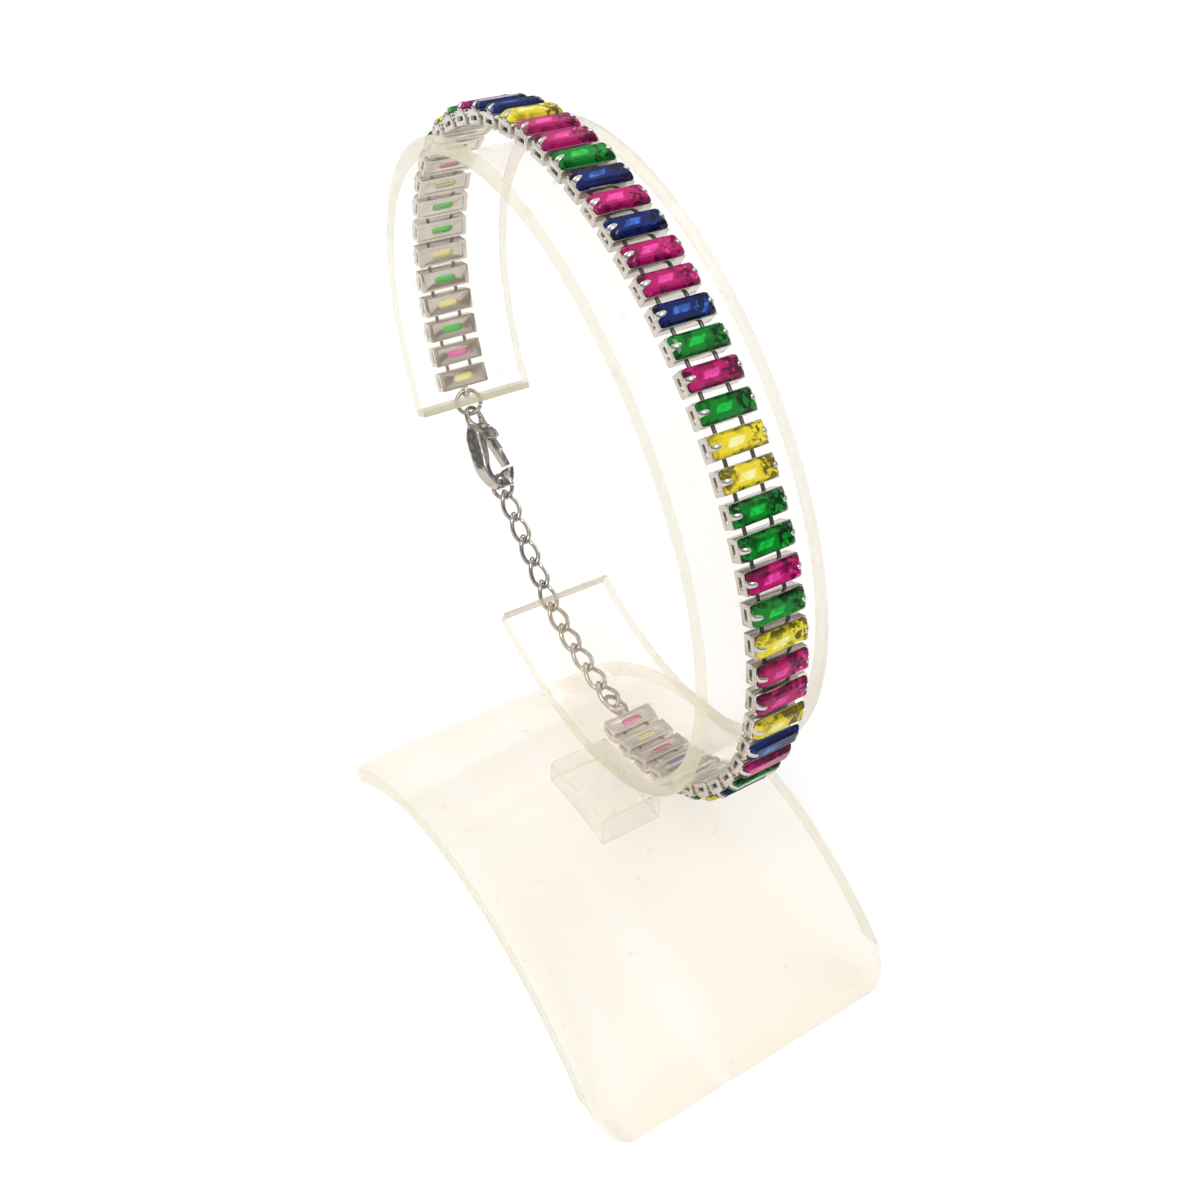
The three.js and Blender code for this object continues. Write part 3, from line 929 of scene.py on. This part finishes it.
@dataclass
class StoneRow:
    """The row of stones round the outer face of the band; order has each colour's first letter."""

    oval: Oval
    count: int = 50
    upper: float = math.radians(242.5)
    lower: float = math.radians(-43)
    gap: float = 0.3 * MM
    cup_height: float = 1.5 * MM
    share: float = 0.76
    bar: float = 0.42 * MM
    bar_place: float = 0.25
    bar_reach: float = 0.4
    last_bar: float = 0.62
    wire: float = 0.5 * MM
    loop_outer: float = 1.9 * MM
    order: str = "YPGYGYGGYPGYGPBBYPPGBPBPPBGPGYYGGPGYPPYBPGBYGYBPYP"
    steps: int = 1200
    route: Route = field(init=False)
    cup: Cup = field(init=False)

    def __post_init__(self) -> None:
        """Measures the row's line and sizes its cups."""
        offset = self.gap + self.cup_height / 2
        self.route = Route(self.oval.route(offset, self.upper, self.lower, self.steps))
        self.cup = Cup(self.share * self.pitch, height=self.cup_height)

    @property
    def loop_radius(self) -> float:
        """The end loops' radius at the middle of the wire."""
        return (self.loop_outer - self.wire) / 2

    @property
    def loop_reach(self) -> float:
        """How far an end loop's centre is from its cup's."""
        return self.cup.width / 2 + self.loop_radius

    @property
    def pitch(self) -> float:
        """The spacing of the stones."""
        return self.route.length / self.count

    def place(self, index: int) -> Matrix:
        """The frame of one cup."""
        point, along = self.route.at((index + 0.5) * self.pitch)
        out = Vector((-along.z, 0, along.x))
        return basis(along, out.cross(along), out, point)

    def gem(self, index: int) -> Gem:
        """The colour of one stone."""
        return next(gem for gem in Gem if gem.name[0] == self.order[index])

    def bars(self, draft: Draft, index: int, share: float = 1.0) -> None:
        """Adds the two wires from one cup towards the next, for a share of the way."""
        here, there = self.place(index), self.place(index + 1)
        reach = self.bar_reach * self.cup.width
        for side in (-self.bar_place, self.bar_place):
            start = here @ Vector((reach, side * self.cup.length, 0))
            stop = start.lerp(there @ Vector((-reach, side * self.cup.length, 0)), share)
            # The wires take the very dark steel, painted shade between the cups.
            tube(draft, lambda t, a=start, b=stop: a.lerp(b, t), self.bar / 2, 2, 12, False, 1)

    def loop(self, draft: Draft, index: int, side: int) -> None:
        """Adds the standing wire loop of an end cup, on one side of it."""
        matrix = self.place(index)

        def centre(t: float) -> Vector:
            """The wire's middle line."""
            angle = 2 * math.pi * t
            x = side * self.loop_reach + self.loop_radius * math.cos(angle)
            return matrix @ Vector((x, 0, self.loop_radius * math.sin(angle)))

        tube(draft, centre, self.wire / 2, 32, 10, True)

    def metal(self, name: str, first: int, last: int) -> Piece:
        """The cups and wires of one length of the row.

        Args:
            name: The piece's name.
            first: The first cup's number.
            last: The last cup's number.

        Returns:
            The piece.
        """
        cup = self.cup.metal()
        draft = Draft()
        for index in range(first, last + 1):
            draft.merge(cup, self.place(index))
            if index < last:
                self.bars(draft, index)
        if first == 0:
            self.loop(draft, 0, -1)
        if last == self.count - 1:
            self.loop(draft, last, 1)
        else:
            self.bars(draft, last, self.last_bar)
        return draft.build(name, [CUP_STEEL.material(), BAR_SHADE_STEEL.material()], 35)

    def stones(self, gem: Gem) -> Piece:
        """All the stones of one colour."""
        stone = self.cup.stone()
        draft = Draft()
        for index in range(self.count):
            if self.gem(index) is gem:
                draft.merge(stone, self.place(index))
        return draft.build(f"stones_{gem.name.lower()}", [gem.value.crown(), gem.value.pavilion()], 8)


@dataclass
class Fastening:
    """The clasp, its rings and the extender chain, between the row's two end loops."""

    row: StoneRow
    stand: Stand
    wire: float = 0.5 * MM
    gap: float = 0.3 * MM
    ring_outer: float = 3.5 * MM
    ring_gain: float = 1.12
    ring_cut: float = math.radians(1.6)
    link_width: float = 2.5 * MM
    link_gain: float = 1.16
    links: int = 10
    turn_past: float = 0.02
    clasp_length: float = 11.5 * MM
    clasp_width: float = 5.6 * MM
    clasp_thickness: float = 2.2 * MM
    eye_share: float = 0.27
    hole_share: float = 0.68
    hook_share: float = 0.62
    edge_share: float = 0.65
    route: Route = field(init=False)

    def __post_init__(self) -> None:
        """Lays the line from the first cup, round the mouth, to the last cup."""
        reach = self.row.loop_reach
        start = self.row.place(0) @ Vector((-reach, 0, 0))
        end = self.row.place(self.row.count - 1) @ Vector((reach, 0, 0))
        oval, stand = self.row.oval, self.stand
        offset = self.row.gap + self.row.cup_height / 2
        corner = oval.point(offset, stand.mouth_upper + self.turn_past)
        under = oval.route(offset, stand.mouth_lower + self.turn_past, self.row.lower + 2 * math.pi, 8)
        self.route = Route([start, corner, *under[:-1], end])

    @property
    def ring_radius(self) -> float:
        """The jump rings' radius at the middle of the wire."""
        return (self.ring_outer - self.wire) / 2

    def stations(self) -> dict[str, float]:
        """How far along the route each ring and the chain begin, and the links' pitch and length."""
        hold = self.wire + self.gap
        loop = self.row.loop_radius
        eye = self.eye_share * self.clasp_width
        eye_hole = self.hole_share * eye
        head = self.clasp_width / 2
        head_x = self.clasp_length - head - eye
        edge = self.edge_share * self.clasp_thickness / 2
        play = self.ring_radius - math.sqrt(self.ring_radius ** 2 - edge ** 2)
        ring = loop - hold
        clasp = ring + 2 * self.ring_radius + eye_hole - self.wire / 2 - self.gap
        hook = clasp + head_x + self.hook_share * head - self.wire / 2 - self.gap - play
        chain = hook + 2 * self.ring_radius - hold
        last = self.route.length - loop + hold - 2 * self.ring_radius
        pitch = (last + hold - chain) / self.links
        link = pitch + hold
        return {"ring": ring, "hook": hook, "chain": chain, "last": last, "pitch": pitch, "link": link}

    def between(self, start: float, stop: float, turn: float) -> Matrix:
        """A frame with x from one place of the route to another, turned about that line."""
        a, b = self.route.at(start)[0], self.route.at(stop)[0]
        along = (b - a).normalized()
        across = Vector((0, 1, 0))
        return basis(along, across, along.cross(across), (a + b) / 2) @ Matrix.Rotation(turn, 4, "X")

    def ring(self, name: str, start: float, turn: float, split: float) -> Piece:
        """A round jump ring with the fine cut where its ends meet.

        Args:
            name: The piece's name.
            start: How far along the route it begins.
            turn: How far its plane is turned, in degrees.
            split: Where round the ring its ends meet, in degrees.

        Returns:
            The piece.
        """
        matrix = self.between(start, start + 2 * self.ring_radius, math.radians(turn))
        begin = math.radians(split) + self.ring_cut
        sweep = 2 * math.pi - 2 * self.ring_cut

        def centre(t: float) -> Vector:
            """The wire's middle line."""
            angle = begin + sweep * t
            return matrix @ (Vector((math.cos(angle), math.sin(angle), 0)) * self.ring_radius)

        draft = Draft()
        tube(draft, centre, self.ring_gain * self.wire / 2, 64, 14, False)
        return draft.build(name, [CHAIN_STEEL.material()], 50)

    def link(self, index: int) -> Piece:
        """One twisted link of the extender chain."""
        place = self.stations()
        start = place["chain"] + index * place["pitch"]
        matrix = self.between(start, start + place["link"], 0.0)
        reach, side = place["link"] / 2, (self.link_width - self.wire) / 2

        def centre(t: float) -> Vector:
            """The wire's middle line."""
            angle = 2 * math.pi * t
            x, across = reach * math.cos(angle), side * math.sin(angle)
            twist = math.pi / 4 * math.cos(angle)
            return matrix @ Vector((x, across * math.cos(twist), across * math.sin(twist)))

        draft = Draft()
        tube(draft, centre, self.link_gain * self.wire / 2, 56, 12, True)
        return draft.build(f"twisted_link_{index + 1:02d}", [CHAIN_STEEL.material()], 60)

    def cast(self, node: str, name: str, voxel: float, rounds: int) -> Piece:
        """One of the clasp's solids, smoothly rounded and polished.

        Args:
            node: The solid's name.
            name: The piece's name.
            voxel: The size of the new mesh's faces.
            rounds: How often the surface is evened out.

        Returns:
            The piece.
        """
        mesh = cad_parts[node].data.copy()
        mesh.materials.clear()
        mesh.materials.append(CLASP_STEEL.material())
        piece = bpy.data.objects.new(name, mesh)
        bpy.context.scene.collection.objects.link(piece)
        work = bmesh.new()
        work.from_mesh(mesh)
        bmesh.ops.remove_doubles(work, verts=work.verts, dist=CLOSE_POINTS)
        work.to_mesh(mesh)
        work.free()
        remesh = piece.modifiers.new("even", "REMESH")
        remesh.mode = "VOXEL"
        remesh.voxel_size = voxel
        smooth = piece.modifiers.new("round", "SMOOTH")
        smooth.factor = 0.5
        smooth.iterations = rounds
        bpy.context.view_layer.update()
        return applied(piece, 80)


@dataclass
class Studio:
    """The white floor, the soft lights and the camera."""

    place: Triple = (92.2 * MM, -58.3 * MM, 123.0 * MM)
    azimuth: float = 55.3
    elevation: float = 38.7
    roll: float = 2.1
    focal_pixels: float = 1260.0
    picture: float = 1200.0
    sensor: float = 36.0
    floor_reach: float = 2.5
    floor_drop: float = 0.1 * MM
    aim: Triple = (0.0, 0.0, 40 * MM)
    room: tuple[tuple[float, float], ...] = ((0.0, 0.9), (0.46, 0.5), (0.56, 0.2), (0.72, 0.85), (1.0, 1.3))
    room_strength: float = 0.8

    def camera(self) -> None:
        """Sets the camera at the photograph's viewing angle."""
        data = bpy.data.cameras.new("camera")
        data.sensor_width = self.sensor
        data.lens = self.focal_pixels / self.picture * self.sensor
        data.clip_start = MM
        az, el = math.radians(self.azimuth), math.radians(self.elevation)
        forward = Vector((-math.sin(az) * math.cos(el), math.cos(az) * math.cos(el), -math.sin(el)))
        level = forward.cross(Vector((0, 0, 1))).normalized()
        upright = level.cross(forward)
        tilt = math.radians(self.roll)
        right = level * math.cos(tilt) + upright * math.sin(tilt)
        made = bpy.data.objects.new("camera", data)
        made.matrix_world = basis(right, right.cross(forward), -forward, Vector(self.place))
        bpy.context.scene.collection.objects.link(made)
        bpy.context.scene.camera = made

    def floor(self) -> None:
        """A matt white floor just below the stand."""
        corners = ((-1, -1, 0), (1, -1, 0), (1, 1, 0), (-1, 1, 0))
        draft = Draft()
        draft.add([Vector(corner) * self.floor_reach for corner in corners], [(0, 1, 2, 3)])
        shader = Shader("white_floor")
        patch = shader.noise(shader.coordinates(), 3.0, 2.0)
        shader.set(Base_Color=shader.mix(patch, (0.93, 0.93, 0.93), (0.96, 0.96, 0.96)), Roughness=0.9)
        floor = draft.build("white_floor", [shader.material])
        floor.location.z = -self.floor_drop

    def lamp(self, name: str, place: Triple, size: float, power: float) -> None:
        """A square soft light that faces the object.

        Args:
            name: Its name.
            place: Where it is.
            size: Its side.
            power: Its power in watts.
        """
        data = bpy.data.lights.new(name, "AREA")
        data.size = size
        data.energy = power
        made = bpy.data.objects.new(name, data)
        made.location = place
        made.rotation_euler = (Vector(self.aim) - Vector(place)).to_track_quat("-Z", "Y").to_euler()
        bpy.context.scene.collection.objects.link(made)

    def light(self) -> None:
        """A room that is bright above, dark just over the horizon and pale below, and three lamps."""
        world = bpy.data.worlds.new("white_room")
        world.use_nodes = True
        graph = Graph(world.node_tree)
        height = graph.part(graph.coordinates("Generated"), 2)
        upward = graph.node("ShaderNodeMapRange", Value=height, From_Min=-1.0)
        stops = [(place, (grey, grey, grey)) for place, grey in self.room]
        background = world.node_tree.nodes["Background"]
        graph.feed(background.inputs["Color"], graph.node("ShaderNodeValToRGB", {"stops": stops}, Fac=upward))
        graph.feed(background.inputs["Strength"], self.room_strength)
        bpy.context.scene.world = world
        bpy.context.scene.view_settings.view_transform = "Standard"
        self.lamp("key_light", (0.25, -0.35, 0.6), 0.25, 1.5)
        self.lamp("fill_light", (-0.45, -0.2, 0.35), 0.3, 0.6)
        self.lamp("back_light", (-0.1, 0.5, 0.45), 0.25, 0.8)


def adopt(piece: Piece, slot: str, body: str, *nodes: str) -> None:
    """Puts a finished piece on its body in place of some solids.

    Args:
        piece: The piece.
        slot: Not used.
        body: The body it rides on.
        nodes: The solids it stands for.
    """
    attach(piece, body)
    if nodes:
        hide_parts(*nodes)
    log.info("%s: %d faces for %s", piece.name, len(piece.data.polygons), ", ".join(nodes) or "the row")


def main() -> None:
    """Builds every piece in order."""
    logging.basicConfig(level=logging.INFO, format="%(message)s")
    low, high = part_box("base_sheet")
    base_x = (low.x + high.x) / 2
    oval = Oval(base_x + BAND_X, BAND_Y, 0.0)
    half_height = math.hypot(oval.long / 2 * math.sin(oval.lean), oval.short / 2 * math.cos(oval.lean))
    oval.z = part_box("ring_band")[0].z + half_height
    stand = Stand(oval, base_x)
    adopt(stand.base(), "acrylic", BODY, "base_sheet")
    adopt(stand.band(), "acrylic", BODY, "ring_band")
    adopt(stand.block(), "acrylic", BODY, "band_block")
    row = StoneRow(oval)
    half = row.count // 2
    adopt(row.metal("cups_upper", 0, half - 1), "stones", BODY, "stone_row_upper")
    adopt(row.metal("cups_lower", half, row.count - 1), "stones", BODY, "stone_row_lower")
    for gem in Gem:
        adopt(row.stones(gem), "stones", BODY)
    fastening = Fastening(row, stand)
    place = fastening.stations()
    adopt(fastening.ring("jump_ring_upper", place["ring"], turn=23, split=60), "steel", BODY, "clasp_ring")
    adopt(fastening.ring("jump_ring_hook", place["hook"], turn=60, split=75), "steel", BODY, "hook_ring")
    adopt(fastening.ring("jump_ring_end", place["last"], turn=-28, split=100), "steel", BODY, "end_ring")
    for index in range(fastening.links):
        adopt(fastening.link(index), "steel", BODY, f"chain_link_{index + 1:02d}")
    body = fastening.cast("clasp_body", "clasp_body_cast", voxel=0.06 * MM, rounds=70)
    adopt(body, "steel", BODY, "clasp_body")
    lever = fastening.cast("clasp_lever", "clasp_lever_cast", voxel=0.045 * MM, rounds=24)
    adopt(lever, "steel", LEVER, "clasp_lever")
    studio = Studio()
    studio.camera()
    studio.floor()
    studio.light()


if __name__ == "__main__":
    main()
